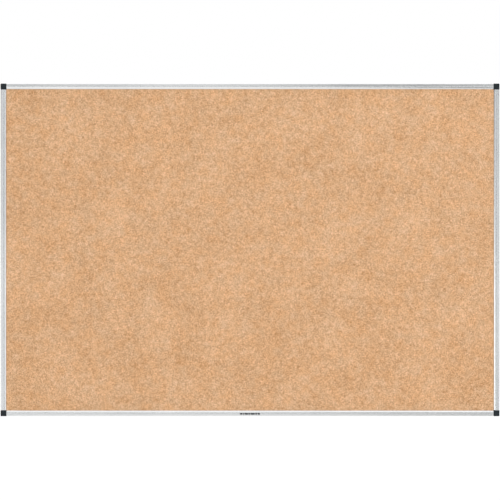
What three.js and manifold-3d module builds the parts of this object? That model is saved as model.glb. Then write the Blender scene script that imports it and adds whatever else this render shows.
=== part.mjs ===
// A cork bulletin board for a classroom wall, built the way the real one comes apart on a bench.
//
// The pinning panel is three glued layers: fine-grain cork, a wood-fibre softboard core and a paper liner.
// Four anodised aluminium rails hold its edges in a channel. Each rail is cut square and slides over the
// tongues of two moulded corner brackets, where a small screw from behind holds it. A bracket carries a
// well and a hole for the wall screw, and a push-fit cap hides the well.
//
// Millimetres, +Z up, +X to the right as seen from the front. The front faces -Y, the wall is the plane
// y = 0, and the origin is the centre of the board on that wall plane.

import * as THREE from 'three';
import { mergeVertices } from 'three/addons/utils/BufferGeometryUtils.js';
import Module from 'manifold-3d';

const wasm = await Module();
wasm.setup();

// ---- Driving sizes ---------------------------------------------------------------------------------

const BOARD_WIDTH = 1500; // over the corner pieces
const BOARD_HEIGHT = 1000;

const CORNER_SIZE = 17.6; // square plan of a corner piece
const CORNER_RADIUS = 2.5; // its outer, free corner
const SMALL_RADIUS = 0.7; // its other three upright edges
const FIT_GAP = 0.25; // between a corner piece and a rail's cut end

// A rail's section. "inward" is measured from the board's outline, "from the wall" from the wall plane.
const RAIL = {
  back: 2.0, // from the wall: the rails stand clear of it, on the brackets
  front: 20.0,
  outer: 0.4, // inward: the rails sit this far behind the corner pieces' outline
  wall: 1.3, // thickness of every wall of the extrusion
  chamber: 6.6, // clear width of the chamber that takes a bracket's tongue
  flange: 16.0, // inward: how far the back flange reaches
  lip: 16.7, // inward: how far the front lip reaches over the cork
  flat: 10.0, // inward: where the front stops being flat and rolls over towards the cork
  edgeRadius: 2.0,
};

// The panel's layers, as distances from the wall.
const LINER = [3.45, 3.95];
const CORE = [4.05, 12.05];
const CORK = [12.15, 15.15];
const PANEL_EDGE = 10.4; // inward: where the panel ends inside the rail's channel
const PANEL_NOTCH = 17.3; // inward: where the notch at each corner ends, under the edge of the cap
const PANEL_GAP = 0.3; // between the notch and the bracket

// ---- Sizes that follow -----------------------------------------------------------------------------

const railEnd = CORNER_SIZE + FIT_GAP; // from the board's outline to the rail's cut end
const chamberFrom = RAIL.outer + RAIL.wall;
const chamberTo = chamberFrom + RAIL.chamber;
const chamberMiddle = (chamberFrom + chamberTo) / 2;
const webTo = chamberTo + RAIL.wall;
const chamberBack = RAIL.back + RAIL.wall;
const chamberFront = RAIL.front - RAIL.wall;
const lipUnderside = CORK[1] + 0.15; // the lip's foot just clears the cork

const ROUND_SEGMENTS = 32;
const SCREW_SEGMENTS = 16;
const CURVE_SEGMENTS = 10;
const QUARTER = Math.PI / 2;

// ---- Materials -------------------------------------------------------------------------------------

function finish(color, roughness, metalness = 0) {
  return new THREE.MeshStandardMaterial({ color, roughness, metalness });
}

const satinAluminium = finish(0xd4d6d6, 0.38, 0.9);
const darkPlastic = finish(0x343a3e, 0.55);
const paleCork = finish(0xdaac83, 0.95);
const woodFibre = finish(0xa9875f, 0.95);
const greyPaper = finish(0xb9b2a4, 0.9);
const zincPlate = finish(0xc3c5c4, 0.35, 0.95);

// ---- Cutting and joining ---------------------------------------------------------------------------

// A closed three.js geometry as a solid that can be cut or joined.
function solid(geometry) {
  const bare = geometry.index ? geometry.toNonIndexed() : geometry.clone();
  bare.deleteAttribute('normal');
  bare.deleteAttribute('uv');
  const merged = mergeVertices(bare, 1e-4);
  return new wasm.Manifold(new wasm.Mesh({
    numProp: 3,
    vertProperties: merged.attributes.position.array,
    triVerts: new Uint32Array(merged.index.array),
  }));
}

// The solid back as a three.js geometry.
function geometryOf(body) {
  const mesh = body.getMesh();
  const geometry = new THREE.BufferGeometry();
  geometry.setAttribute('position', new THREE.BufferAttribute(mesh.vertProperties, 3));
  geometry.setIndex(new THREE.BufferAttribute(mesh.triVerts, 1));
  geometry.computeVertexNormals();
  return geometry;
}

function prism(shape, from, to, options = {}) {
  const settings = { depth: to - from, bevelEnabled: false, curveSegments: CURVE_SEGMENTS, ...options };
  return new THREE.ExtrudeGeometry(shape, settings).translate(0, 0, from);
}

function box(from, to) {
  const size = to.map((value, axis) => value - from[axis]);
  const middle = to.map((value, axis) => (value + from[axis]) / 2);
  return new THREE.BoxGeometry(...size).translate(...middle);
}

// A round solid about +Z. The profile is a list of [radius, z] from the lower end of the axis to the upper.
function turned(profile, segments = ROUND_SEGMENTS) {
  const points = profile.map(([radius, z]) => new THREE.Vector2(radius, z));
  return new THREE.LatheGeometry(points, segments).rotateX(QUARTER);
}

function polygon(points) {
  return new THREE.Shape(points.map(([x, y]) => new THREE.Vector2(x, y)));
}

// A square from the origin, with one radius at the origin's corner and another at the other three.
function roundedSquare(size, cornerRadius, otherRadius) {
  const shape = new THREE.Shape();
  shape.absarc(cornerRadius, cornerRadius, cornerRadius, Math.PI, 1.5 * Math.PI, false);
  shape.absarc(size - otherRadius, otherRadius, otherRadius, -QUARTER, 0, false);
  shape.absarc(size - otherRadius, size - otherRadius, otherRadius, 0, QUARTER, false);
  shape.absarc(otherRadius, size - otherRadius, otherRadius, QUARTER, Math.PI, false);
  return shape;
}

// ---- Rail ------------------------------------------------------------------------------------------

const SCREW_FROM_CORNER = 30; // along a rail, from the board's outline to the rail screw
const SCREW_HOLE_RADIUS = 1.65;

// The extrusion's section: x is inward, y is from the wall. A box chamber runs along the outside, and
// the channel inside it is open towards the panel, between the back flange and the rolled front lip.
function railSection() {
  const rollRise = RAIL.lip - RAIL.flat;
  const rollDrop = RAIL.front - lipUnderside - RAIL.wall;
  const rollRadius = (rollRise ** 2 + rollDrop ** 2) / (2 * rollDrop);
  const rollMiddle = RAIL.front - rollRadius;
  const innerRadius = rollRadius - RAIL.wall;
  const tipAngle = Math.acos(rollRise / rollRadius);
  const footAngle = Math.asin((lipUnderside - rollMiddle) / innerRadius);

  const outline = new THREE.Shape();
  outline.moveTo(RAIL.outer, RAIL.back);
  outline.lineTo(RAIL.flange, RAIL.back);
  outline.lineTo(RAIL.flange, chamberBack);
  outline.lineTo(webTo, chamberBack);
  outline.lineTo(webTo, chamberFront);
  outline.absarc(RAIL.flat, rollMiddle, innerRadius, QUARTER, footAngle, true);
  outline.lineTo(RAIL.lip, lipUnderside);
  outline.absarc(RAIL.flat, rollMiddle, rollRadius, tipAngle, QUARTER, false);
  const edgeX = RAIL.outer + RAIL.edgeRadius;
  const edgeY = RAIL.front - RAIL.edgeRadius;
  outline.absarc(edgeX, edgeY, RAIL.edgeRadius, QUARTER, Math.PI, false);
  outline.closePath();

  const chamber = [
    [chamberFrom, chamberBack],
    [chamberFrom, chamberFront],
    [chamberTo, chamberFront],
    [chamberTo, chamberBack],
  ];
  outline.holes.push(new THREE.Path(chamber.map(([x, y]) => new THREE.Vector2(x, y))));
  return outline;
}

// A rail lies along +Z here, centred, with a screw hole through its back wall near each end.
function railGeometry(boardLength) {
  const half = boardLength / 2 - railEnd;
  let rail = solid(prism(railSection(), -half, half));
  for (const end of [-1, 1]) {
    const r = SCREW_HOLE_RADIUS;
    const hole = new THREE.CylinderGeometry(r, r, 2 * RAIL.wall + 1, SCREW_SEGMENTS);
    const along = end * (boardLength / 2 - SCREW_FROM_CORNER);
    rail = rail.subtract(solid(hole.translate(chamberMiddle, RAIL.back, along)));
  }
  return geometryOf(rail);
}

// ---- Panel -----------------------------------------------------------------------------------------

// One layer of the panel, in the X-Z plane of the board, notched at each corner to clear the bracket.
function layerGeometry([from, to]) {
  const x = BOARD_WIDTH / 2 - PANEL_EDGE;
  const z = BOARD_HEIGHT / 2 - PANEL_EDGE;
  const notch = PANEL_NOTCH - PANEL_EDGE;
  const points = [];
  for (const [signX, signZ] of [[1, 1], [-1, 1], [-1, -1], [1, -1]]) {
    const corner = [[x, z - notch], [x - notch, z - notch], [x - notch, z]];
    const ordered = signX * signZ > 0 ? corner : corner.reverse();
    points.push(...ordered.map(([px, pz]) => [px * signX, pz * signZ]));
  }
  return prism(polygon(points), from, to);
}

// ---- Corner bracket --------------------------------------------------------------------------------

const BRACKET_FRONT = 15.0; // from the wall: the shoulder that the cap sits on
const CENTRE = CORNER_SIZE / 2; // of the well and the wall screw, from both outer faces
const WELL_RADIUS = 6.0;
const WELL_FLOOR = 4.5; // from the wall
const WALL_SCREW_RADIUS = 3.2;
const COUNTERSINK_RADIUS = 5.0;
const TONGUE_END = 58; // along the rail, from the board's outline
const TONGUE_CLEARANCE = 0.3; // on each side, inside the rail's chamber
const TONGUE_LEAD = 2.5; // the tapered tip
const BARBS_AT = [38, 44, 50]; // along the rail
const BARB_LENGTH = 3;
const BARB_HEIGHT = 0.15;
const POCKET = { from: 36, to: 54, web: 1.2, rim: 2.4 }; // the tongue is hollowed to an I section here
const PILOT = { radius: 1.6, depth: 12.5, tip: 0.9 }; // for the rail screw, depth from the wall
const CORE_OUT_RADIUS = 1.4;
const CORE_OUT_DEPTH = 3.6;
const CORE_OUT_INSET = 3.0;

// The tongue's side view: x is along the rail, y is from the wall. Low barbs grip the chamber.
function tongueSide() {
  const root = CENTRE + WELL_RADIUS + 1;
  const back = chamberBack + TONGUE_CLEARANCE;
  const front = chamberFront - TONGUE_CLEARANCE;
  const points = [[root, back]];
  for (const x of BARBS_AT) {
    points.push([x, back], [x, back - BARB_HEIGHT], [x + BARB_LENGTH, back]);
  }
  points.push(
    [TONGUE_END - TONGUE_LEAD, back],
    [TONGUE_END, back + TONGUE_LEAD],
    [TONGUE_END, front - TONGUE_LEAD],
    [TONGUE_END - TONGUE_LEAD, front],
    [railEnd, front],
    [railEnd, BRACKET_FRONT],
    [root, BRACKET_FRONT],
  );
  return polygon(points);
}

// One tongue along +X, an I in section beyond the screw, with a pilot hole for the rail screw.
function tongue() {
  const half = RAIL.chamber / 2 - TONGUE_CLEARANCE;
  const pocketBack = chamberBack + POCKET.rim;
  const pocketFront = chamberFront - POCKET.rim;
  let body = solid(prism(tongueSide(), -half, half).rotateX(QUARTER));
  for (const side of [-1, 1]) {
    const [low, high] = [side * POCKET.web, side * (half + 1)].sort((a, b) => a - b);
    const pocket = box([POCKET.from, low, pocketBack], [POCKET.to, high, pocketFront]);
    body = body.subtract(solid(pocket));
  }
  const pilot = turned([
    [0, RAIL.back],
    [PILOT.radius, RAIL.back],
    [PILOT.radius, PILOT.depth],
    [0, PILOT.depth + PILOT.tip],
  ], SCREW_SEGMENTS);
  return body.subtract(solid(pilot.translate(SCREW_FROM_CORNER, 0, 0)));
}

// The bracket at a corner whose outer faces are x = 0 and y = 0, with z from the wall. Its block is
// relieved on the two inner faces, where the panel's notch nests against it.
function bracketGeometry() {
  const outline = roundedSquare(CORNER_SIZE, CORNER_RADIUS, SMALL_RADIUS);
  const reliefAt = PANEL_NOTCH - PANEL_GAP;
  const reliefFrom = PANEL_EDGE - PANEL_GAP;
  const reliefs = [
    box([reliefAt, reliefFrom, -1], [CORNER_SIZE + 1, CORNER_SIZE + 1, BRACKET_FRONT + 1]),
    box([reliefFrom, reliefAt, -1], [CORNER_SIZE + 1, CORNER_SIZE + 1, BRACKET_FRONT + 1]),
  ];
  const seat = WELL_FLOOR - (COUNTERSINK_RADIUS - WALL_SCREW_RADIUS);
  const well = turned([
    [0, -1],
    [WALL_SCREW_RADIUS, -1],
    [WALL_SCREW_RADIUS, seat],
    [COUNTERSINK_RADIUS, WELL_FLOOR],
    [WELL_RADIUS, WELL_FLOOR],
    [WELL_RADIUS, BRACKET_FRONT + 1],
    [0, BRACKET_FRONT + 1],
  ]);
  const along = geometryOf(tongue());
  const alongX = solid(along.clone().translate(0, chamberMiddle, 0));
  const alongY = solid(along.clone().rotateZ(QUARTER).translate(chamberMiddle, 0, 0));
  let bracket = solid(prism(outline, 0, BRACKET_FRONT));
  for (const relief of reliefs) {
    bracket = bracket.subtract(solid(relief));
  }
  bracket = bracket.add(alongX).add(alongY);
  bracket = bracket.subtract(solid(well.translate(CENTRE, CENTRE, 0)));
  const coreOut = [[0, -1], [CORE_OUT_RADIUS, -1], [CORE_OUT_RADIUS, CORE_OUT_DEPTH], [0, CORE_OUT_DEPTH]];
  for (const x of [CORE_OUT_INSET, CORNER_SIZE - CORE_OUT_INSET]) {
    for (const y of [CORE_OUT_INSET, CORNER_SIZE - CORE_OUT_INSET]) {
      bracket = bracket.subtract(solid(turned(coreOut, 12).translate(x, y, 0)));
    }
  }
  return geometryOf(bracket);
}

// ---- Corner cap ------------------------------------------------------------------------------------

const CAP_BACK = BRACKET_FRONT + 0.2; // from the wall
const CAP_FRONT = 20.4; // the caps stand just proud of the rails
const CAP_WALL = 1.4;
const CAP_PLATE = 1.6; // thickness of its front
const CAP_EDGE_RADIUS = 1.0;
const SLEEVE_OUTER = WELL_RADIUS - 0.2;
const SLEEVE_INNER = 4.8;
const SLEEVE_BACK = 10.0; // from the wall: how deep the sleeve goes into the well
const SLIT_WIDTH = 1.4;
const SLEEVE_LEAD = 0.5; // the chamfer that guides the sleeve in
const NOTCH_WIDTH = 4.0; // where a small screwdriver prises the cap off
const NOTCH_HEIGHT = 0.9;

// The cap in the bracket's own frame: a square shell with rounded front edges, and a sleeve with four
// sprung fingers that plugs into the well.
function capGeometry() {
  const outline = roundedSquare(CORNER_SIZE, CORNER_RADIUS, SMALL_RADIUS + 0.3);
  const rounded = {
    depth: CAP_FRONT - CAP_BACK,
    bevelEnabled: true,
    bevelThickness: CAP_EDGE_RADIUS,
    bevelSize: CAP_EDGE_RADIUS - 0.05,
    bevelOffset: -(CAP_EDGE_RADIUS - 0.05),
    bevelSegments: 4,
    curveSegments: 6,
  };
  const block = prism(outline, CAP_BACK - CAP_EDGE_RADIUS, CAP_FRONT, rounded);
  const belowRim = box([-1, -1, 0], [CORNER_SIZE + 1, CORNER_SIZE + 1, CAP_BACK]);
  const plateBack = CAP_FRONT - CAP_PLATE;
  const hollow = roundedSquare(CORNER_SIZE - 2 * CAP_WALL, CORNER_RADIUS - CAP_WALL, SMALL_RADIUS);
  const inside = prism(hollow, 0, plateBack, { curveSegments: 4 }).translate(CAP_WALL, CAP_WALL, 0);
  const sleeve = turned([
    [SLEEVE_INNER, SLEEVE_BACK],
    [SLEEVE_OUTER - SLEEVE_LEAD, SLEEVE_BACK],
    [SLEEVE_OUTER, SLEEVE_BACK + 2 * SLEEVE_LEAD],
    [SLEEVE_OUTER, plateBack + CAP_PLATE / 2],
    [SLEEVE_INNER, plateBack + CAP_PLATE / 2],
    [SLEEVE_INNER, SLEEVE_BACK],
  ]).translate(CENTRE, CENTRE, 0);

  let cap = solid(block).subtract(solid(belowRim)).subtract(solid(inside)).add(solid(sleeve));
  const slitFrom = CENTRE - SLIT_WIDTH / 2;
  const slitTo = CENTRE + SLIT_WIDTH / 2;
  const slitTop = plateBack - 2;
  const near = CENTRE - SLEEVE_OUTER - 0.1;
  const far = CENTRE + SLEEVE_OUTER + 0.1;
  const slits = [
    box([near, slitFrom, 0], [far, slitTo, slitTop]),
    box([slitFrom, near, 0], [slitTo, far, slitTop]),
  ];
  const notchFrom = CENTRE - NOTCH_WIDTH / 2;
  const notchTo = CENTRE + NOTCH_WIDTH / 2;
  const notches = [
    box([-1, notchFrom, 0], [CAP_WALL / 2, notchTo, CAP_BACK + NOTCH_HEIGHT]),
    box([notchFrom, -1, 0], [notchTo, CAP_WALL / 2, CAP_BACK + NOTCH_HEIGHT]),
  ];
  for (const cutter of [...slits, ...notches]) {
    cap = cap.subtract(solid(cutter));
  }
  return geometryOf(cap);
}

// ---- Rail screw ------------------------------------------------------------------------------------

const HEAD_TOP = 0.4; // from the wall
const HEAD_RADIUS = 2.7;
const HEAD_UNDER = RAIL.back - 0.05;
const SHANK_RADIUS = 1.4;
const SCREW_TIP = 11.4;
const RECESS = { reach: 1.4, half: 0.35, depth: 0.9 }; // the cross in the head

// A pan-head self-tapping screw about +Z, its head towards the wall, with a cross recess.
function screwGeometry() {
  let screw = solid(turned([
    [0, HEAD_TOP],
    [HEAD_RADIUS * 0.67, HEAD_TOP],
    [HEAD_RADIUS * 0.89, HEAD_TOP + 0.35],
    [HEAD_RADIUS, HEAD_TOP + 0.9],
    [HEAD_RADIUS, HEAD_UNDER],
    [SHANK_RADIUS, HEAD_UNDER],
    [SHANK_RADIUS, SCREW_TIP - 2],
    [0, SCREW_TIP],
  ], SCREW_SEGMENTS));
  const { reach, half, depth } = RECESS;
  for (const [x, y] of [[reach, half], [half, reach]]) {
    screw = screw.subtract(solid(box([-x, -y, 0], [x, y, HEAD_TOP + depth])));
  }
  return geometryOf(screw);
}

// ---- Assembly --------------------------------------------------------------------------------------

const board = new THREE.Group();

function addMesh(parent, name, geometry, material) {
  const mesh = new THREE.Mesh(geometry, material);
  mesh.name = name;
  parent.add(mesh);
  return mesh;
}

// Each layer is drawn in the X-Z plane, so it turns from z-from-the-wall to the board's -Y.
const layers = [
  ['cork_sheet', CORK, paleCork],
  ['softboard_core', CORE, woodFibre],
  ['back_liner', LINER, greyPaper],
];
for (const [name, depths, material] of layers) {
  addMesh(board, name, layerGeometry(depths), material).rotation.x = QUARTER;
}

// The four sides in turn, each a quarter turn about Y from the last. In a side's group the rail runs
// along +X, inward is +Z and the board's outline is z = 0.
const horizontalRail = railGeometry(BOARD_WIDTH);
const uprightRail = railGeometry(BOARD_HEIGHT);
const railScrew = screwGeometry();
const sides = [
  { name: 'bottom', length: BOARD_WIDTH, geometry: horizontalRail, ends: ['left', 'right'] },
  { name: 'left', length: BOARD_HEIGHT, geometry: uprightRail, ends: ['top', 'bottom'] },
  { name: 'top', length: BOARD_WIDTH, geometry: horizontalRail, ends: ['right', 'left'] },
  { name: 'right', length: BOARD_HEIGHT, geometry: uprightRail, ends: ['bottom', 'top'] },
];
sides.forEach((side, turn) => {
  const reach = turn % 2 ? BOARD_WIDTH / 2 : BOARD_HEIGHT / 2;
  const turnedSide = new THREE.Group();
  turnedSide.rotation.y = turn * QUARTER;
  const atOutline = new THREE.Group();
  atOutline.position.z = -reach;
  turnedSide.add(atOutline);
  board.add(turnedSide);

  addMesh(atOutline, `${side.name}_rail`, side.geometry, satinAluminium)
    .rotation.set(Math.PI, QUARTER, 0);
  side.ends.forEach((end, index) => {
    const screw = addMesh(atOutline, `rail_screw_${side.name}_${end}`, railScrew, zincPlate);
    screw.rotation.x = QUARTER;
    screw.position.x = (index ? 1 : -1) * (side.length / 2 - SCREW_FROM_CORNER);
    screw.position.z = chamberMiddle;
  });
});

// The four corners, also a quarter turn apart. Bracket and cap share one frame at the outer corner.
const bracket = bracketGeometry();
const cap = capGeometry();
const corners = [
  ['bottom_left', -1, -1],
  ['top_left', -1, 1],
  ['top_right', 1, 1],
  ['bottom_right', 1, -1],
];
corners.forEach(([name, signX, signZ], turn) => {
  const corner = new THREE.Group();
  corner.position.set(signX * BOARD_WIDTH / 2, 0, signZ * BOARD_HEIGHT / 2);
  corner.rotation.y = turn * QUARTER;
  board.add(corner);
  addMesh(corner, `bracket_${name}`, bracket, darkPlastic).rotation.x = QUARTER;
  addMesh(corner, `cap_${name}`, cap, darkPlastic).rotation.x = QUARTER;
});

export default board;
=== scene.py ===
import math

import bmesh
import bpy
from mathutils import Matrix, Vector, noise
from mathutils.geometry import tessellate_polygon


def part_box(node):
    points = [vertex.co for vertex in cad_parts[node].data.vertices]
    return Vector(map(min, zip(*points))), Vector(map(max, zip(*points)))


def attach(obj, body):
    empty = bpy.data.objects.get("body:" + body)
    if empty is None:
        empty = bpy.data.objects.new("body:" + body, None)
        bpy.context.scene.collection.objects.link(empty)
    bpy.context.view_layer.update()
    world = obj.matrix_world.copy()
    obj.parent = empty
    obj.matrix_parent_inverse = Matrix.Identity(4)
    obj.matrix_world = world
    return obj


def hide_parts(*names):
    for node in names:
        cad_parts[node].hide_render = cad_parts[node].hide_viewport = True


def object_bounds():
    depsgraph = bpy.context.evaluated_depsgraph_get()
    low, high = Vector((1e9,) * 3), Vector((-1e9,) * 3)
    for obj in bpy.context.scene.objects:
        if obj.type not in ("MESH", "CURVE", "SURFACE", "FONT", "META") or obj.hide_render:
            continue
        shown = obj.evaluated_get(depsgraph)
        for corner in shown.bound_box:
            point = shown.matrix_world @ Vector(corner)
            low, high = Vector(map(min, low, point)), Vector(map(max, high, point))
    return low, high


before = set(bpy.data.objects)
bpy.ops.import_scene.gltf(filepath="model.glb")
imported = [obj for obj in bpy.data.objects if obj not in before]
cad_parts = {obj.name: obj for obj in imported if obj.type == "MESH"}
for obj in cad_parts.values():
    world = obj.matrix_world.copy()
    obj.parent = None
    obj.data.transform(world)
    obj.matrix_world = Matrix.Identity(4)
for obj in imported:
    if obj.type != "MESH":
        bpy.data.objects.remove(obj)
cad_low, cad_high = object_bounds()


# The softboard core. A sheet of felted wood fibre, pressed wet and dried, sawn to size with a notch at
# each corner for the brackets. It gives the panel its body and holds the shanks of the pins.
MM = 0.001
HALF_WIDTH = cad_high.x
HALF_HEIGHT = cad_high.z
PANEL_NOTCH = 6.9 * MM


def even_lines(low, high, notch, spacing):
    """Grid lines across a panel layer, with one at each notch and even ones between."""
    inner = high - low - 2 * notch
    count = round(inner / spacing)
    return [low, *(low + notch + inner * i / count for i in range(count + 1)), high]


def panel_layer(node, spacing, hollow):
    """A closed, notched layer in the place of a CAD layer. hollow(x, z) is how far its front sinks in."""
    low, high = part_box(node)
    xs = even_lines(low.x, high.x, PANEL_NOTCH, spacing)
    zs = even_lines(low.z, high.z, PANEL_NOTCH, spacing)
    last_x, last_z = len(xs) - 2, len(zs) - 2
    cells = {
        (i, k)
        for i in range(last_x + 1)
        for k in range(last_z + 1)
        if not (i in (0, last_x) and k in (0, last_z))
    }
    bm = bmesh.new()
    corners = {(i + a, k + b) for i, k in cells for a in (0, 1) for b in (0, 1)}
    front = {}
    back = {}
    for i, k in sorted(corners):
        front[i, k] = bm.verts.new((xs[i], low.y + hollow(xs[i], zs[k]), zs[k]))
        back[i, k] = bm.verts.new((xs[i], high.y, zs[k]))
    for i, k in sorted(cells):
        ring = [(i, k), (i + 1, k), (i + 1, k + 1), (i, k + 1)]
        bm.faces.new([front[c] for c in ring])
        bm.faces.new([back[c] for c in reversed(ring)])
        beyond = [(i, k - 1), (i + 1, k), (i, k + 1), (i - 1, k)]
        for side, neighbour in enumerate(beyond):
            if neighbour not in cells:
                a, b = ring[side], ring[(side + 1) % 4]
                bm.faces.new([front[b], front[a], back[a], back[b]])
    return bm


def mesh_object(name, bm, smooth_angle=35):
    """A scene object from mesh code, shaded smooth except across edges sharper than smooth_angle."""
    mesh = bpy.data.meshes.new(name)
    bm.normal_update()
    bm.to_mesh(mesh)
    bm.free()
    piece = bpy.data.objects.new(name, mesh)
    bpy.context.scene.collection.objects.link(piece)
    shade(piece, smooth_angle)
    return piece


def shade(piece, smooth_angle):
    """Smooth shading, with the edges above the angle kept sharp and the flats beside fillets kept flat."""
    mesh = piece.data
    mesh.polygons.foreach_set("use_smooth", [True] * len(mesh.polygons))
    mesh.set_sharp_from_angle(angle=math.radians(smooth_angle))
    weigh = piece.modifiers.new("weigh", "WEIGHTED_NORMAL")
    weigh.keep_sharp = True
    settle(piece)


def settle(piece):
    """Makes the result of a piece's modifiers its own mesh."""
    graph = bpy.context.evaluated_depsgraph_get()
    result = bpy.data.meshes.new_from_object(piece.evaluated_get(graph))
    piece.modifiers.clear()
    before = piece.data
    piece.data = result
    bpy.data.meshes.remove(before)


def srgb(red, green, blue):
    """A colour named by its 0 to 255 display values, as the linear values that shaders take."""
    def linear(value):
        value /= 255
        return value / 12.92 if value <= 0.04045 else ((value + 0.055) / 1.055) ** 2.4
    return (linear(red), linear(green), linear(blue), 1.0)


class Finish:
    """A node material with one Principled shader, and short calls that add nodes to it."""

    def __init__(self, name, **constants):
        self.material = bpy.data.materials.new(name)
        self.material.use_nodes = True
        self.tree = self.material.node_tree
        self.tree.nodes.clear()
        self.output = self.node("ShaderNodeOutputMaterial")
        self.shader = self.node("ShaderNodeBsdfPrincipled")
        self.tree.links.new(self.shader.outputs[0], self.output.inputs["Surface"])
        for socket, value in constants.items():
            self.shader.inputs[socket.replace("_", " ")].default_value = value
        self.place = self.node("ShaderNodeTexCoord").outputs["Object"]

    def node(self, kind, sockets=None, **settings):
        made = self.tree.nodes.new(kind)
        for key, value in settings.items():
            setattr(made, key, value)
        for key, value in (sockets or {}).items():
            self.feed(made.inputs[key], value)
        return made

    def feed(self, socket, value):
        if isinstance(value, bpy.types.NodeSocket):
            self.tree.links.new(value, socket)
        else:
            socket.default_value = value

    def stretched(self, x, y, z):
        """The piece's own coordinates in metres, multiplied along each axis."""
        sockets = {0: self.place, 1: (x, y, z)}
        return self.node("ShaderNodeVectorMath", sockets, operation="MULTIPLY").outputs[0]

    def noise(self, size, detail=2.0, roughness=0.5, where=None):
        """Cloudy noise from 0 to 1 whose lumps are about size across."""
        sockets = {"Vector": where or self.place, "Scale": 1 / size}
        sockets |= {"Detail": detail, "Roughness": roughness}
        return self.node("ShaderNodeTexNoise", sockets).outputs["Fac"]

    def cells(self, size, output="Color", feature="F1", where=None):
        """Packed grains about size across: a random colour for each, or the distance within it."""
        sockets = {"Vector": where or self.place, "Scale": 1 / size}
        return self.node("ShaderNodeTexVoronoi", sockets, feature=feature).outputs[output]

    def math(self, operation, a, b=0.0, clamp=False):
        return self.node("ShaderNodeMath", {0: a, 1: b}, operation=operation, use_clamp=clamp).outputs[0]

    def spread(self, value, from_low, from_high, to_low, to_high):
        """value carried from one range to another, held at both ends."""
        sockets = {0: value, 1: from_low, 2: from_high, 3: to_low, 4: to_high}
        return self.node("ShaderNodeMapRange", sockets).outputs[0]

    def red(self, colour):
        """One of a random colour's three numbers, which is itself a random number."""
        return self.node("ShaderNodeSeparateColor", {0: colour}).outputs[0]

    def ramp(self, value, stops):
        """A colour for each value, from stops of (value, colour)."""
        made = self.node("ShaderNodeValToRGB", {"Fac": value})
        points = made.color_ramp.elements
        while len(points) < len(stops):
            points.new(1.0)
        for point, (at, colour) in zip(points, stops):
            point.position = at
            point.color = colour
        return made.outputs["Color"]

    def colour(self, value):
        self.feed(self.shader.inputs["Base Color"], value)

    def roughness(self, value):
        self.feed(self.shader.inputs["Roughness"], value)

    def bump(self, height, depth, strength=1.0):
        """Fine relief: height from 0 to 1 stands for depth in metres."""
        sockets = {"Height": height, "Distance": depth, "Strength": strength}
        self.feed(self.shader.inputs["Normal"], self.node("ShaderNodeBump", sockets).outputs[0])


def felted_fibre():
    finish = Finish("felted_wood_fibre", Specular_IOR_Level=0.2)
    fibres = finish.noise(0.8 * MM, detail=4, where=finish.stretched(1, 1, 0.35))
    shives = finish.red(finish.cells(2.4 * MM))
    tone = finish.math("MULTIPLY", finish.math("ADD", fibres, shives), 0.5)
    finish.colour(finish.ramp(tone, [
        (0.2, srgb(116, 88, 58)),
        (0.5, srgb(158, 126, 88)),
        (0.8, srgb(196, 168, 128)),
    ]))
    finish.roughness(finish.spread(fibres, 0, 1, 0.85, 1.0))
    finish.bump(fibres, 0.4 * MM)
    return finish.material


def pressed_wave(depth, length, seed):
    """How far a pressed sheet's surface sinks in at a place, as a slow wave."""
    def hollow(x, z):
        wave = noise.noise(Vector((x / length, seed, z / length)))
        return depth * (0.5 + 0.5 * wave)
    return hollow


softboard_wave = pressed_wave(0.05 * MM, 0.08, 3.7)
softboard = mesh_object("softboard", panel_layer("softboard_core", 16 * MM, softboard_wave))
softboard.data.materials.append(felted_fibre())
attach(softboard, "board")
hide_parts("softboard_core")


# The cork face. Ground cork, sieved to fine granules, is pressed with a clear binder into a block, sliced
# into 3 mm sheet and sanded, then glued over the whole front of the softboard.
CORK_GRANULE = 2.4 * MM
CORK_SHADES = [
    (0.0, srgb(139, 79, 40)),
    (0.2, srgb(174, 126, 78)),
    (0.5, srgb(216, 172, 131)),
    (0.8, srgb(249, 205, 165)),
    (1.0, srgb(255, 225, 181)),
]
CORK_BARK = srgb(128, 80, 42)
CORK_WARM = (1.015, 0.97, 0.91, 1)
CORK_COOL = (0.985, 1.03, 1.09, 1)


def torn_edges(finish, size, reach):
    """The piece's own coordinates, shifted by up to reach each way so that grain edges wander."""
    swirl = finish.node("ShaderNodeTexNoise", {"Vector": finish.place, "Scale": 1 / size}).outputs["Color"]
    sockets = {0: swirl, 1: (0.5, 0.5, 0.5)}
    shift = finish.node("ShaderNodeVectorMath", sockets, operation="SUBTRACT").outputs[0]
    sockets = {0: shift, 1: (2 * reach,) * 3, 2: finish.place}
    return finish.node("ShaderNodeVectorMath", sockets, operation="MULTIPLY_ADD").outputs[0]


def flecked(finish, amount, ground, fleck):
    """The ground colour where amount is 0, the fleck's where it is 1."""
    mix = finish.node("ShaderNodeMix", data_type="RGBA")
    finish.feed(mix.inputs[0], amount)
    finish.feed(mix.inputs[6], ground)
    finish.feed(mix.inputs[7], fleck)
    return mix.outputs[2]


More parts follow.
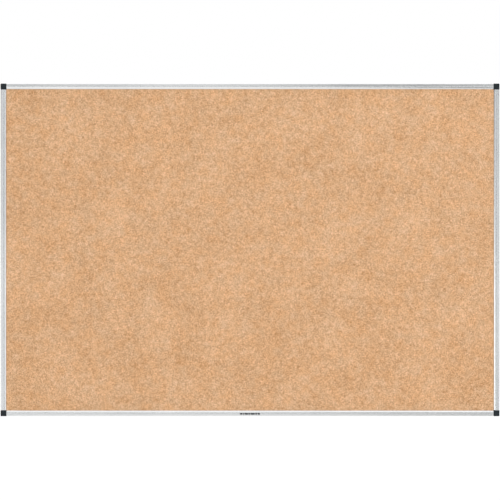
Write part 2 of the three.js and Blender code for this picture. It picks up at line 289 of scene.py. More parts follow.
def agglomerated_cork():
    finish = Finish("agglomerated_cork", Specular_IOR_Level=0.2)
    torn = torn_edges(finish, 0.9 * MM, 0.7 * MM)
    granules = finish.red(finish.cells(CORK_GRANULE, where=torn))
    crumbs = finish.red(finish.cells(1.3 * MM, where=torn))
    seams = finish.cells(CORK_GRANULE, "Distance", "DISTANCE_TO_EDGE", torn)
    pores = finish.noise(0.5 * MM, detail=3, roughness=0.6)
    clumps = finish.noise(11 * MM, detail=2)
    mottle = finish.noise(150 * MM, detail=3, roughness=0.7)
    parts = [(granules, 0.33), (crumbs, 0.33), (pores, 0.24), (clumps, 0.22), (mottle, 0.25)]
    tone = 0.5 - 0.5 * sum(weight for _, weight in parts)
    for value, weight in parts:
        sockets = {0: value, 1: weight, 2: tone}
        tone = finish.node("ShaderNodeMath", sockets, operation="MULTIPLY_ADD").outputs[0]
    seam_shade = finish.spread(seams, 0.0, 0.08, -0.08, 0.0)
    shade_colour = finish.ramp(finish.math("ADD", tone, seam_shade, clamp=True), CORK_SHADES)
    bark = finish.spread(crumbs, 0.968, 0.978, 0.0, 0.75)
    ground = flecked(finish, bark, shade_colour, CORK_BARK)
    drift = finish.spread(finish.noise(28 * MM, detail=2), 0.3, 0.7, 0, 1)
    cast = flecked(finish, drift, CORK_WARM, CORK_COOL)
    sockets = {0: ground, 1: cast}
    finish.colour(finish.node("ShaderNodeVectorMath", sockets, operation="MULTIPLY").outputs[0])
    finish.roughness(finish.spread(granules, 0, 1, 0.82, 0.97))
    relief = finish.math("MULTIPLY", finish.math("ADD", pores, finish.spread(seams, 0, 0.14, 0, 1)), 0.5)
    finish.bump(relief, 0.05 * MM, strength=0.7)
    return finish.material


cork = mesh_object("cork_face", panel_layer("cork_sheet", 8 * MM, pressed_wave(0.12 * MM, 0.11, 1.3)))
cork.data.materials.append(agglomerated_cork())
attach(cork, "board")
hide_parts("cork_sheet")


# The back liner. Grey-brown paper from recycled fibre, glued over the back of the softboard so that the
# panel doesn't bow when the air is damp. It shows only from behind.
def liner_paper():
    finish = Finish("liner_paper", Specular_IOR_Level=0.3)
    fibres = finish.noise(0.5 * MM, detail=5, roughness=0.7, where=finish.stretched(0.45, 1, 1))
    clouds = finish.noise(14 * MM, detail=4, roughness=0.6)
    torn = torn_edges(finish, 0.6 * MM, 0.5 * MM)
    flecks = finish.spread(finish.red(finish.cells(0.9 * MM, where=torn)), 0.975, 0.985, 0.0, 0.45)
    tone = finish.math("ADD", finish.math("MULTIPLY", fibres, 0.6), finish.math("MULTIPLY", clouds, 0.4))
    paper = finish.ramp(tone, [
        (0.3, srgb(166, 157, 141)),
        (0.5, srgb(186, 178, 163)),
        (0.7, srgb(203, 196, 182)),
    ])
    finish.colour(flecked(finish, flecks, paper, srgb(104, 88, 70)))
    finish.roughness(finish.spread(clouds, 0.3, 0.7, 0.78, 0.92))
    finish.bump(tone, 0.05 * MM)
    return finish.material


liner = mesh_object("liner_sheet", panel_layer("back_liner", 16 * MM, pressed_wave(0.04 * MM, 0.09, 8.1)))
liner.data.materials.append(liner_paper())
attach(liner, "board")
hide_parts("back_liner")


# The corner brackets. One moulded anthracite plastic part at each corner: a square block with a
# countersunk hole and a round well for the wall screw, and two barbed tongues that go into the rails.
CORNER_SIZE = 17.6 * MM
CORNER_RADIUS = 2.5 * MM
CORNER_CENTRE = CORNER_SIZE / 2
BRACKET_FRONT = 15.0 * MM
TONGUE_MIDDLE = 5.0 * MM
RAIL_SCREW_AT = 30 * MM
SOFT_EDGE = 0.3 * MM
WELD = 0.0005 * MM
QUARTER = math.pi / 2
CORNER_TURNS = {"bottom_left": 0, "top_left": 1, "top_right": 2, "bottom_right": 3}


def arc(centre, radius, start, end, steps):
    """Points along an arc, its ends included, with angles in quarter turns."""
    angles = [(start + (end - start) * i / steps) * QUARTER for i in range(steps + 1)]
    return [(centre[0] + radius * math.cos(a), centre[1] + radius * math.sin(a)) for a in angles]


def rounded_square(size, corner_radius, other_radius, inset=0.0, steps=8):
    """A square's outline from the origin, drawn in by inset, with its own radius at the origin's corner."""
    near, far = corner_radius, size - other_radius
    sharpest = 0.02 * MM
    first, other = max(corner_radius - inset, sharpest), max(other_radius - inset, sharpest)
    return [
        *arc((near, near), first, 2, 3, steps),
        *arc((far, other_radius), other, 3, 4, steps),
        *arc((far, far), other, 0, 1, steps),
        *arc((other_radius, far), other, 1, 2, steps),
    ]


def skin(bm, rings, closed=False):
    """Joins rings of equally many (x, y, z) points with faces. Unless closed, the end rings get lids."""
    loops = [[bm.verts.new(point) for point in ring] for ring in rings]
    count = len(loops[0])
    pairs = list(zip(loops, loops[1:]))
    if closed:
        pairs.append((loops[-1], loops[0]))
    for lower, upper in pairs:
        for i in range(count):
            j = (i + 1) % count
            bm.faces.new([lower[i], lower[j], upper[j], upper[i]])
    if not closed:
        bm.faces.new(loops[0][::-1])
        bm.faces.new(loops[-1])
    bmesh.ops.recalc_face_normals(bm, faces=bm.faces)


def turned(profile, segments=48):
    """A solid of revolution about +Z from a closed profile of (radius, z). A radius of 0 is on the axis."""
    bm = bmesh.new()
    rings = [
        [(r * math.cos(a), r * math.sin(a), z) for r, z in profile]
        for a in (2 * math.pi * i / segments for i in range(segments))
    ]
    skin(bm, rings, closed=True)
    bmesh.ops.remove_doubles(bm, verts=bm.verts, dist=WELD)
    return bm


def block(low, high):
    """A plain rectangular cutter between two corners."""
    bm = bmesh.new()
    ring = [(low[0], low[1]), (high[0], low[1]), (high[0], high[1]), (low[0], high[1])]
    skin(bm, [[(x, y, z) for x, y in ring] for z in (low[2], high[2])])
    return bm


def moved(bm, *steps):
    """The mesh code's result after each matrix in turn."""
    for step in steps:
        bm.transform(step)
    return bm


def carve(piece, cutters, operation="DIFFERENCE", smooth_angle=35):
    """Cuts the cutters from the piece, or joins them to it, and keeps the welded result as its mesh."""
    tools = [mesh_object("cutter", bm) for bm in cutters]
    for tool in tools:
        step = piece.modifiers.new("carve", "BOOLEAN")
        step.operation = operation
        step.solver = "EXACT"
        step.object = tool
    settle(piece)
    for tool in tools:
        bpy.data.meshes.remove(tool.data)
    bm = bmesh.new()
    bm.from_mesh(piece.data)
    bmesh.ops.remove_doubles(bm, verts=bm.verts, dist=WELD)
    bm.to_mesh(piece.data)
    bm.free()
    shade(piece, smooth_angle)
    return piece


def corner_frame(turn):
    """From a corner piece's own axes, along, inward and out from the wall, to its place on the board."""
    sign_x = 1 if turn in (2, 3) else -1
    sign_z = 1 if turn in (1, 2) else -1
    outer_corner = Matrix.Translation((sign_x * HALF_WIDTH, 0, sign_z * HALF_HEIGHT))
    return outer_corner @ Matrix.Rotation(turn * QUARTER, 4, "Y") @ Matrix.Rotation(QUARTER, 4, "X")


def moulded_plastic():
    finish = Finish("moulded_anthracite", Specular_IOR_Level=0.1)
    spark = finish.noise(0.28 * MM, detail=3, roughness=0.6)
    flow = finish.noise(9 * MM, detail=2)
    finish.colour(finish.ramp(finish.math("MULTIPLY", finish.math("ADD", spark, flow), 0.5), [
        (0.3, srgb(36, 41, 44)),
        (0.7, srgb(46, 52, 56)),
    ]))
    finish.roughness(finish.spread(spark, 0.25, 0.75, 0.62, 0.78))
    finish.bump(spark, 0.03 * MM, strength=0.7)
    return finish.material


anthracite = moulded_plastic()


def bracket_tongue():
    """One tongue along +X: a bar with a tapered tip, low barbs and softened long edges."""
    half, back, front = 3.0 * MM, 3.6 * MM, 18.4 * MM
    start, end, lead = 15.8 * MM, 58 * MM, 2.5 * MM
    foot, foot_front = 17.85 * MM, BRACKET_FRONT - 0.5 * MM
    barb, barb_length = 0.15 * MM, 3 * MM
    side = [(start, back)]
    for at in (38 * MM, 44 * MM, 50 * MM):
        side += [(at, back), (at, back - barb), (at + barb_length, back)]
    side += [(end - lead, back), (end, back + lead), (end, front - lead), (end - lead, front)]
    side += [(foot, front), (foot, foot_front), (start, foot_front)]
    middle = (back + front) / 2
    rings = []
    flank = half - SOFT_EDGE
    for across, shrink in ((-half, SOFT_EDGE), (-flank, 0), (flank, 0), (half, SOFT_EDGE)):
        ring = []
        for x, z in side:
            pull_x = shrink if x >= end - lead else 0
            pull_z = shrink if z < middle else -shrink
            ring.append((x - pull_x, TONGUE_MIDDLE + across, z + pull_z))
        rings.append(ring)
    bm = bmesh.new()
    skin(bm, rings)
    return bm


def bracket_shape(name):
    """The bracket at the origin's corner, with z out from the wall."""
    other_radius = 0.7 * MM
    levels = [(0, SOFT_EDGE), (SOFT_EDGE, 0), (BRACKET_FRONT - SOFT_EDGE, 0), (BRACKET_FRONT, SOFT_EDGE)]
    bm = bmesh.new()
    skin(bm, [
        [(x, y, z) for x, y in rounded_square(CORNER_SIZE, CORNER_RADIUS, other_radius, inset)]
        for z, inset in levels
    ])
    piece = mesh_object(name, bm)

    # Room for the panel's edge beside each tongue.
    relief_at, relief_from, far = 17.0 * MM, 10.1 * MM, 20 * MM
    reliefs = [
        block((relief_at, relief_from, -MM), (far, far, far)),
        block((relief_from, relief_at, -MM), (far, far, far)),
    ]
    carve(piece, reliefs)
    swap = Matrix(((0, 1, 0, 0), (1, 0, 0, 0), (0, 0, 1, 0), (0, 0, 0, 1)))
    other = moved(bracket_tongue(), swap)
    bmesh.ops.reverse_faces(other, faces=other.faces)
    carve(piece, [bracket_tongue(), other], "UNION")

    # The wall screw's countersunk hole at the bottom of the cap's well.
    hole, sink, well, seat = 3.2 * MM, 5.0 * MM, 6.0 * MM, 4.5 * MM
    cone = seat - (sink - hole)
    well_profile = [(0, -MM), (hole, -MM), (hole, cone), (sink, seat), (well, seat), (well, far), (0, far)]
    cutters = [moved(turned(well_profile, 64), Matrix.Translation((CORNER_CENTRE, CORNER_CENTRE, 0)))]

    # Four moulding cores in the back, and the two rail screws' pilot holes.
    core_at, core_depth = 3.0 * MM, 3.6 * MM
    core_out = [(0, -MM), (1.4 * MM, -MM), (1.3 * MM, core_depth), (0, core_depth)]
    for x in (core_at, CORNER_SIZE - core_at):
        for y in (core_at, CORNER_SIZE - core_at):
            cutters.append(moved(turned(core_out, 24), Matrix.Translation((x, y, 0))))
    bore, bore_end = 1.6 * MM, 12.5 * MM
    pilot = [(0, 2 * MM), (bore, 2 * MM), (bore, bore_end), (0, bore_end + 0.9 * MM)]
    for x, y in ((RAIL_SCREW_AT, TONGUE_MIDDLE), (TONGUE_MIDDLE, RAIL_SCREW_AT)):
        cutters.append(moved(turned(pilot, 24), Matrix.Translation((x, y, 0))))

    # Pockets that hollow each tongue to an I beyond its screw.
    web, rim_low, rim_high = 1.2 * MM, 5.7 * MM, 16.3 * MM
    pocket, pocket_end = 36 * MM, 54 * MM
    for low, high in ((1 * MM, TONGUE_MIDDLE - web), (TONGUE_MIDDLE + web, 9 * MM)):
        cutters.append(block((pocket, low, rim_low), (pocket_end, high, rim_high)))
        cutters.append(block((low, pocket, rim_low), (high, pocket_end, rim_high)))
    return carve(piece, cutters)


for corner, turn in CORNER_TURNS.items():
    bracket = bracket_shape(f"corner_bracket_{corner}")
    bracket.data.transform(corner_frame(turn))
    bracket.data.materials.append(anthracite)
    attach(bracket, "board")
    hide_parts(f"bracket_{corner}")


# The rails. Four lengths of one aluminium extrusion, etched and anodised natural silver, then sawn square
# and deburred. The channel holds the panel's edge and the box chamber slides over the brackets' tongues.
RAIL_END_GAP = 0.25 * MM
RAIL_BACK = 2.0 * MM
RAIL_FRONT = 20.0 * MM
RAIL_OUTER = 0.4 * MM
RAIL_WALL = 1.3 * MM
RAIL_CHAMBER = 6.6 * MM
RAIL_FLAT = 8.8 * MM
RAIL_LIP = 16.7 * MM
RAIL_FLANGE = 16.0 * MM
SIDE_TURNS = {"bottom": 0, "left": 1, "top": 2, "right": 3}


def rail_outline():
    """The section's outer line, as (inward, out from the wall), with every edge of the die eased."""
    ease = 0.3 * MM
    lip_foot = 15.3 * MM
    rise = RAIL_LIP - RAIL_FLAT
    drop = RAIL_FRONT - lip_foot - RAIL_WALL
    roll = (rise * rise + drop * drop) / (2 * drop)
    middle = RAIL_FRONT - roll
    inner = roll - RAIL_WALL
    web = RAIL_OUTER + 2 * RAIL_WALL + RAIL_CHAMBER
    tip = math.acos(rise / roll) / QUARTER
    root = math.acos((web - RAIL_FLAT) / inner) / QUARTER
    foot = math.asin((lip_foot - middle) / inner) / QUARTER
    back_inside = RAIL_BACK + RAIL_WALL
    outer_round = 2.0 * MM
    return [
        *arc((RAIL_OUTER + ease, RAIL_BACK + ease), ease, 2, 3, 4),
        *arc((RAIL_FLANGE - ease, RAIL_BACK + ease), ease, 3, 4, 4),
        *arc((RAIL_FLANGE - ease, back_inside - ease), ease, 0, 1, 4),
        (web, back_inside),
        *arc((RAIL_FLAT, middle), inner, root, foot, 14),
        (RAIL_LIP - ease, lip_foot),
        *arc((RAIL_LIP - ease, lip_foot + ease), ease, 3, 4, 3)[1:],
        *arc((RAIL_FLAT, middle), roll, tip, 1, 20),
        *arc((RAIL_OUTER + outer_round, RAIL_FRONT - outer_round), outer_round, 1, 2, 12),
    ]


def rail_chamber():
    """The clear box chamber inside the section, with a small radius in its corners."""
    ease = 0.5 * MM
    left, right = RAIL_OUTER + RAIL_WALL, RAIL_OUTER + RAIL_WALL + RAIL_CHAMBER
    low, high = RAIL_BACK + RAIL_WALL, RAIL_FRONT - RAIL_WALL
    return [
        *arc((left + ease, low + ease), ease, 2, 3, 3),
        *arc((right - ease, low + ease), ease, 3, 4, 3),
        *arc((right - ease, high - ease), ease, 0, 1, 3),
        *arc((left + ease, high - ease), ease, 1, 2, 3),
    ]


def eased(points, amount):
    """A closed outline that runs anticlockwise, moved to its left by amount."""
    result = []
    for i, here in enumerate(points):
        before, after = Vector(points[i - 1]), Vector(points[(i + 1) % len(points)])
        way = (after - before).normalized()
        result.append((here[0] - way.y * amount, here[1] + way.x * amount))
    return result


def rail_shape(name, board_length):
    """A rail along +X, with +Z inward and -Y out from the wall, its sawn ends lightly deburred."""
    half = board_length / 2 - CORNER_SIZE - RAIL_END_GAP
    burr, end_run = 0.15 * MM, 70 * MM
    outline, chamber = rail_outline(), rail_chamber()
    bm = bmesh.new()
    stations = [
        (-half, burr), (burr - half, 0), (end_run - half, 0), (0, 0),
        (half - end_run, 0), (half - burr, 0), (half, burr),
    ]
    ends = []
    for section, side in ((outline, 1), (chamber, -1)):
        rings = []
        for along, shrink in stations:
            ring = eased(section, side * shrink) if shrink else section
            rings.append([bm.verts.new((along, -out, inward)) for inward, out in ring])
        for lower, upper in zip(rings, rings[1:]):
            for i in range(len(section)):
                j = (i + 1) % len(section)
                bm.faces.new([lower[i], lower[j], upper[j], upper[i]])
        ends.append((rings[0], rings[-1]))
    for which in (0, 1):
        loops = [ends[0][which], ends[1][which]]
        flat = [[Vector((v.co.z, -v.co.y, 0)) for v in loop] for loop in loops]
        verts = [*loops[0], *loops[1]]
        for triangle in tessellate_polygon(flat):
            bm.faces.new([verts[i] for i in triangle])
    bmesh.ops.recalc_face_normals(bm, faces=bm.faces)
    piece = mesh_object(name, bm)
    middle = RAIL_OUTER + RAIL_WALL + RAIL_CHAMBER / 2
    bore, through = 1.65 * MM, 4 * MM
    drill = [(0, 0), (bore, 0), (bore, through), (0, through)]
    holes = []
    for end in (-1, 1):
        at = Matrix.Translation((end * (board_length / 2 - RAIL_SCREW_AT), 0, middle))
        holes.append(moved(turned(drill, 32), at @ Matrix.Rotation(QUARTER, 4, "X")))
    return carve(piece, holes, smooth_angle=25)


def side_frame(turn):
    """From a side's own axes, along +X, inward +Z and out from the wall -Y, to its place on the board."""
    reach = HALF_WIDTH if turn % 2 else HALF_HEIGHT
    return Matrix.Rotation(turn * QUARTER, 4, "Y") @ Matrix.Translation((0, 0, -reach))


def anodised_aluminium(name, along):
    """Satin silver with the die's faint lines along the rail and a slow drift in its sheen."""
    finish = Finish(name, Metallic=1.0)
    drawn = 0.004
    lengthwise = finish.stretched(drawn, 1, 1) if along == "x" else finish.stretched(1, 1, drawn)
    die_lines = finish.noise(0.35 * MM, detail=4, roughness=0.7, where=lengthwise)
    drift = finish.noise(160 * MM, detail=2)
    etch = finish.noise(0.25 * MM, detail=2)
    finish.colour(finish.ramp(finish.math("MULTIPLY", finish.math("ADD", die_lines, drift), 0.5), [
        (0.35, srgb(217, 219, 220)),
        (0.65, srgb(229, 230, 230)),
    ]))
    finish.roughness(finish.math("ADD", finish.spread(die_lines, 0.3, 0.7, 0.21, 0.28),
                                 finish.spread(etch, 0.3, 0.7, -0.02, 0.02)))
    finish.bump(finish.math("ADD", die_lines, finish.math("MULTIPLY", etch, 0.3)), 0.006 * MM)
    return finish.material


satin_level = anodised_aluminium("anodised_aluminium_level", "x")
satin_upright = anodised_aluminium("anodised_aluminium_upright", "z")
for side, turn in SIDE_TURNS.items():
    upright = turn % 2 == 1
    rail = rail_shape(f"rail_{side}", 2 * (HALF_HEIGHT if upright else HALF_WIDTH))
    rail.data.transform(side_frame(turn))
    rail.data.materials.append(satin_upright if upright else satin_level)
    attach(rail, "board")
    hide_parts(f"{side}_rail")


# The rail screws. Small pan-head tapping screws in bright zinc plate, one through the back of each rail's
# end, which cut their own thread in the bracket's tongue and keep the frame from pulling apart.
SCREW_HEAD = 2.7 * MM
SCREW_TOP = 0.4 * MM
SCREW_DOME = 0.95 * MM
SCREW_UNDER = 1.95 * MM
SCREW_TIP = 11.4 * MM
SIDE_ENDS = {"bottom": ("left", "right"), "left": ("top", "bottom"), "top": ("right", "left"),
             "right": ("bottom", "top")}


def screw_shape(name):
    """A domed head with its rim rolled under and a cross recess, on a shank with a real helical thread."""
    core, crest, pitch, around = 1.02 * MM, 1.42 * MM, 1.1 * MM, 40
    rim, run_in, point = 0.15 * MM, 0.6 * MM, 2.2 * MM
    head = [(SCREW_HEAD * math.sin(a * QUARTER), SCREW_TOP + SCREW_DOME * (1 - math.cos(a * QUARTER)))
            for a in (0.03, 0.12, 0.22, 0.35, 0.5, 0.65, 0.8, 0.9, 1.0)]
    head += [(SCREW_HEAD, SCREW_UNDER - rim), (SCREW_HEAD - rim, SCREW_UNDER)]
    angles = [2 * math.pi * i / around for i in range(around)]
    rings = [[(radius * math.cos(a), radius * math.sin(a), z) for a in angles] for radius, z in head]
    steps = round((SCREW_TIP - SCREW_UNDER) / (pitch / 10))
    for k in range(steps + 1):
        z = SCREW_UNDER + (SCREW_TIP - SCREW_UNDER) * k / steps
        taper = min(1.0, (SCREW_TIP - z) / point + 0.04)
        fade = min(1.0, (z - SCREW_UNDER) / run_in)
        ring = []
        for i, a in enumerate(angles):
            phase = (z / pitch - i / around) % 1
            ridge = max(0.0, 1 - abs(phase - 0.5) / 0.28)
            radius = taper * (core + (crest - core) * ridge * fade)
            ring.append((radius * math.cos(a), radius * math.sin(a), z))
        rings.append(ring)
    screw = bmesh.new()
    skin(screw, rings)

    # The recess narrows from 1.12 times the driver's cross above the head to 0.55 times at its bottom.
    reach, half, above, depth = 1.45 * MM, 0.32 * MM, 0.3 * MM, 1.0 * MM
    arm = [(reach, -half), (reach, half), (half, half)]
    cross = arm + [(-y, x) for x, y in arm] + [(-x, -y) for x, y in arm] + [(y, -x) for x, y in arm]
    recess = bmesh.new()
    levels = ((SCREW_TOP - above, 1.12), (SCREW_TOP + depth, 0.55))
    skin(recess, [[(x * grow, y * grow, z) for x, y in cross] for z, grow in levels])
    return carve(mesh_object(name, screw), [recess])


def bright_zinc():
    finish = Finish("bright_zinc", Metallic=1.0)
    bloom = finish.noise(1.2 * MM, detail=3)
    finish.colour(finish.ramp(bloom, [(0.3, srgb(196, 202, 206)), (0.7, srgb(222, 224, 220))]))
    finish.roughness(finish.spread(bloom, 0.3, 0.7, 0.2, 0.34))
    finish.bump(finish.noise(0.15 * MM), 0.004 * MM)
    return finish.material


zinc = bright_zinc()
for side, ends in SIDE_ENDS.items():
    turn = SIDE_TURNS[side]
    reach = (HALF_HEIGHT if turn % 2 else HALF_WIDTH) - RAIL_SCREW_AT
    for end, sign in zip(ends, (-1, 1)):
        screw = screw_shape(f"screw_{side}_{end}")
        at = Matrix.Translation((sign * reach, 0, TONGUE_MIDDLE)) @ Matrix.Rotation(QUARTER, 4, "X")
        screw.data.transform(side_frame(turn) @ at)
        screw.data.materials.append(zinc)
        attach(screw, "board")
        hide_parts(f"rail_screw_{side}_{end}")


# The print on the bottom rail. Where a maker pad-prints a mark, this board has a plain row of rounded
# dashes in dark ink, a few hundredths of a millimetre thick.
INK_MIDDLE = 7.2 * MM
INK_HEIGHT = 5.2 * MM
INK_FILM = 0.03 * MM
INK_DASHES = [7.0 * MM, 3.4 * MM, 9.6 * MM, 5.2 * MM, 12.0 * MM, 5.2 * MM, 7.0 * MM]
INK_GAP = 1.7 * MM


def ink_dashes():
    """The dashes side by side on the rail's front, each with rounded ends."""
    bm = bmesh.new()
    x = -(sum(INK_DASHES) + INK_GAP * (len(INK_DASHES) - 1)) / 2
    radius = 1.2 * MM
    low, high = INK_MIDDLE - INK_HEIGHT / 2, INK_MIDDLE + INK_HEIGHT / 2
    for length in INK_DASHES:
        ring = [
            *arc((x + radius, low + radius), radius, 2, 3, 6),
            *arc((x + length - radius, low + radius), radius, 3, 4, 6),
            *arc((x + length - radius, high - radius), radius, 0, 1, 6),
            *arc((x + radius, high - radius), radius, 1, 2, 6),
        ]
        fronts = (RAIL_FRONT - 0.01 * MM, RAIL_FRONT + INK_FILM)
        skin(bm, [[(px, -out, pz) for px, pz in ring] for out in fronts])
        x += length + INK_GAP
    return bm


def printing_ink():
    finish = Finish("printing_ink", Specular_IOR_Level=0.4)
    speckle = finish.noise(0.4 * MM, detail=3)
    finish.colour(finish.ramp(speckle, [(0.3, srgb(38, 42, 44)), (0.75, srgb(58, 62, 64))]))
    finish.roughness(finish.spread(speckle, 0.3, 0.7, 0.4, 0.6))
    finish.bump(speckle, 0.01 * MM)
    return finish.material


ink = mesh_object("ink_dashes", ink_dashes())
ink.data.transform(side_frame(SIDE_TURNS["bottom"]))
ink.data.materials.append(printing_ink())
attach(ink, "board")


# The corner caps. Thin anthracite shells moulded in the brackets' plastic. A sleeve split into four sprung
# fingers pushes into the bracket's well, and a notch in two sides takes the blade that prises the cap off.
CAP_BACK = 15.2 * MM
CAP_FRONT = 20.4 * MM
CAP_WALL = 1.4 * MM
CAP_EDGE = 1.0 * MM
CAP_CROWN = 0.15 * MM


def cap_shell():
    """A square shell, open towards the wall, with rounded front edges and a faintly crowned face."""
    other_radius = 1.15 * MM
    soft = 0.15 * MM
    shoulder = CAP_FRONT - CAP_CROWN - CAP_EDGE
    levels = [(CAP_BACK, soft), (CAP_BACK + soft, 0), (shoulder, 0)]
    for i in range(1, 9):
        angle = QUARTER * i / 8
        levels.append((shoulder + CAP_EDGE * math.sin(angle), CAP_EDGE * (1 - math.cos(angle))))
    rings = [
        [(x, y, z) for x, y in rounded_square(CORNER_SIZE, CORNER_RADIUS, other_radius, inset)]
        for z, inset in levels
    ]
    face = rings[-1]
    for share in (0.85, 0.65, 0.4, 0.15):
        height = CAP_FRONT - CAP_CROWN * share ** 2
        edge = CORNER_CENTRE * (1 - share)
        rings.append([(edge + x * share, edge + y * share, height) for x, y, _ in face])
    inside = [(18.8 * MM, CAP_WALL), (CAP_BACK + soft, CAP_WALL), (CAP_BACK, CAP_WALL - soft)]
    hollow = [
        [(x, y, z) for x, y in rounded_square(CORNER_SIZE, CORNER_RADIUS, 1.9 * MM, inset)]
        for z, inset in inside
    ]
    bm = bmesh.new()
    skin(bm, [*hollow, *rings])
    return bm


def cap_sleeve():
    """The round sleeve behind the face, with a lead-in at its tip."""
    inner, outer, tip, root = 4.8 * MM, 5.8 * MM, 10.0 * MM, 19.2 * MM
    lead = 0.5 * MM
    profile = [(inner + 0.1 * MM, tip), (outer - lead, tip), (outer, tip + 2 * lead), (outer, root),
               (inner, root), (inner, tip + 0.1 * MM)]
    return moved(turned(profile, 64), Matrix.Translation((CORNER_CENTRE, CORNER_CENTRE, 0)))


def cap_shape(name):
    """A whole cap in its bracket's axes, with the sleeve's slits and the prising notches cut out."""
    smooth_angle = 40
    cap = carve(mesh_object(name, cap_shell()), [cap_sleeve()], "UNION", smooth_angle)
    slit, reach, slit_back, slit_front = 0.7 * MM, 6.1 * MM, 9 * MM, 16.8 * MM
    near, far = CORNER_CENTRE - reach, CORNER_CENTRE + reach
    low, high = CORNER_CENTRE - slit, CORNER_CENTRE + slit
    notch, notch_depth = 2 * MM, 0.7 * MM
    notch_low, notch_high = CORNER_CENTRE - notch, CORNER_CENTRE + notch
    notch_back, notch_front = 14 * MM, CAP_BACK + 0.9 * MM
    return carve(cap, [
        block((near, low, slit_back), (far, high, slit_front)),
        block((low, near, slit_back), (high, far, slit_front)),
        block((-MM, notch_low, notch_back), (notch_depth, notch_high, notch_front)),
        block((notch_low, -MM, notch_back), (notch_high, notch_depth, notch_front)),
    ], smooth_angle=smooth_angle)


for corner, turn in CORNER_TURNS.items():
    cap = cap_shape(f"corner_cap_{corner}")
    cap.data.transform(corner_frame(turn))
    cap.data.materials.append(anthracite)
    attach(cap, f"cap_{corner}")
    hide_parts(f"cap_{corner}")


# The studio. A pale floor well below the hung board, a white surround, and large soft lights. A grey felt
# cloth on the floor, in front and to the right, shows only in reflections. The camera looks straight on.
FLOOR_DROP = 0.9
FLOOR_SPAN = 60.0
CLOTH_LOW = (0.7, -5.8)
CLOTH_HIGH = (2.1, -1.4)
CLOTH_LIFT = 0.01
LENS = 120.0
SENSOR = 36.0
FRAME_WIDTH = 1.50301
EYE_DROP = 0.0004


def floor_sheet(low, high, above=0.0):
    """A flat sheet between two corners, so far above the studio's floor."""
    bm = bmesh.new()
    level = -HALF_HEIGHT - FLOOR_DROP + above
    ring = [(low[0], low[1]), (high[0], low[1]), (high[0], high[1]), (low[0], high[1])]
    bm.faces.new([bm.verts.new((x, y, level)) for x, y in ring])
    return bm


def pale_floor():
    finish = Finish("pale_floor", Specular_IOR_Level=0.0)
    cloud = finish.noise(0.8, detail=2)
    finish.colour(finish.ramp(cloud, [(0.3, (0.92, 0.92, 0.92, 1)), (0.7, (0.95, 0.95, 0.95, 1))]))
    finish.roughness(finish.spread(cloud, 0, 1, 0.8, 0.9))
    return finish.material


floor = mesh_object("floor", floor_sheet((-FLOOR_SPAN, -FLOOR_SPAN), (FLOOR_SPAN, FLOOR_SPAN)))
floor.data.materials.append(pale_floor())


def grey_felt():
    finish = Finish("grey_felt", Specular_IOR_Level=0.0)
    nap = finish.noise(0.03, detail=3)
    finish.colour(finish.ramp(nap, [(0.3, (0.22, 0.22, 0.22, 1)), (0.7, (0.26, 0.26, 0.26, 1))]))
    finish.roughness(finish.spread(nap, 0, 1, 0.85, 1.0))
    return finish.material


shade_cloth = mesh_object("shade_cloth", floor_sheet(CLOTH_LOW, CLOTH_HIGH, CLOTH_LIFT))
shade_cloth.data.materials.append(grey_felt())
shade_cloth.visible_camera = False
shade_cloth.visible_diffuse = False
shade_cloth.visible_shadow = False


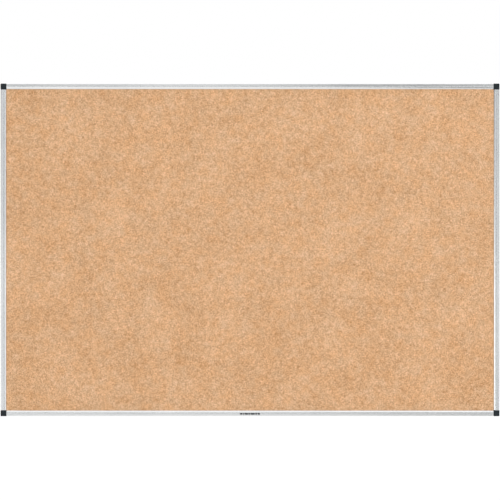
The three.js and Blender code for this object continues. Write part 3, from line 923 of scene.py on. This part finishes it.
def surround(crown, level, lean):
    """White behind the board, and for light an even surround that brightens overhead."""
    world = bpy.data.worlds.new("surround")
    world.use_nodes = True
    tree = world.node_tree
    tree.nodes.clear()
    link = tree.links.new
    height = tree.nodes.new("ShaderNodeVectorMath")
    height.operation = "DOT_PRODUCT"
    link(tree.nodes.new("ShaderNodeTexCoord").outputs["Generated"], height.inputs[0])
    height.inputs[1].default_value = (0, math.sin(lean), math.cos(lean))
    glow = tree.nodes.new("ShaderNodeMapRange")
    for socket, value in ((1, 0.0), (2, 1.0), (3, level), (4, crown)):
        glow.inputs[socket].default_value = value
    link(height.outputs["Value"], glow.inputs[0])
    light = tree.nodes.new("ShaderNodeBackground")
    light.inputs["Color"].default_value = (1, 1, 1, 1)
    link(glow.outputs[0], light.inputs["Strength"])
    plain = tree.nodes.new("ShaderNodeBackground")
    plain.inputs["Color"].default_value = (1, 1, 1, 1)
    mix = tree.nodes.new("ShaderNodeMixShader")
    link(tree.nodes.new("ShaderNodeLightPath").outputs["Is Camera Ray"], mix.inputs[0])
    link(light.outputs[0], mix.inputs[1])
    link(plain.outputs[0], mix.inputs[2])
    link(mix.outputs[0], tree.nodes.new("ShaderNodeOutputWorld").inputs[0])
    return world


bpy.context.scene.world = surround(crown=1.52, level=0.26, lean=math.radians(6))


def soft_light(name, place, width, height, radiance):
    """A rectangular soft light of a given surface brightness, turned towards the board's middle."""
    lamp = bpy.data.lights.new(name, "AREA")
    lamp.shape = "RECTANGLE"
    lamp.size, lamp.size_y = width, height
    lamp.energy = radiance * math.pi * width * height
    stand = bpy.data.objects.new(name, lamp)
    stand.location = place
    stand.rotation_euler = (-Vector(place)).to_track_quat("-Z", "Y").to_euler()
    stand.visible_camera = False
    bpy.context.scene.collection.objects.link(stand)


soft_light("overhead", (-0.4, -4.4, 1.9), 3.0, 0.6, 0.9)
soft_light("high", (-0.35, -4.6, 1.1), 1.4, 0.9, 0.7)
soft_light("left", (-1.9, -4.3, 0.4), 1.2, 1.6, 0.68)
soft_light("right", (2.0, -4.3, 0.4), 1.2, 1.6, 0.78)
soft_light("side", (3.5, -2.5, 0.1), 1.5, 2.0, 0.9)
soft_light("key", (-6.0, -5.0, -1.0), 3.0, 2.6, 1.8)
soft_light("fill", (2.3, -2.5, 1.9), 1.9, 1.9, 1.0)

camera = bpy.data.objects.new("camera", bpy.data.cameras.new("camera"))
camera.data.lens = LENS
camera.data.sensor_width = SENSOR
face = cad_low.y + CAP_EDGE
distance = FRAME_WIDTH / SENSOR * LENS
camera.location = (0, face - distance, -EYE_DROP)
camera.rotation_euler = (QUARTER, 0, 0)
camera.data.clip_end = 200
bpy.context.scene.collection.objects.link(camera)
bpy.context.scene.camera = camera
bpy.context.scene.view_settings.view_transform = "Standard"
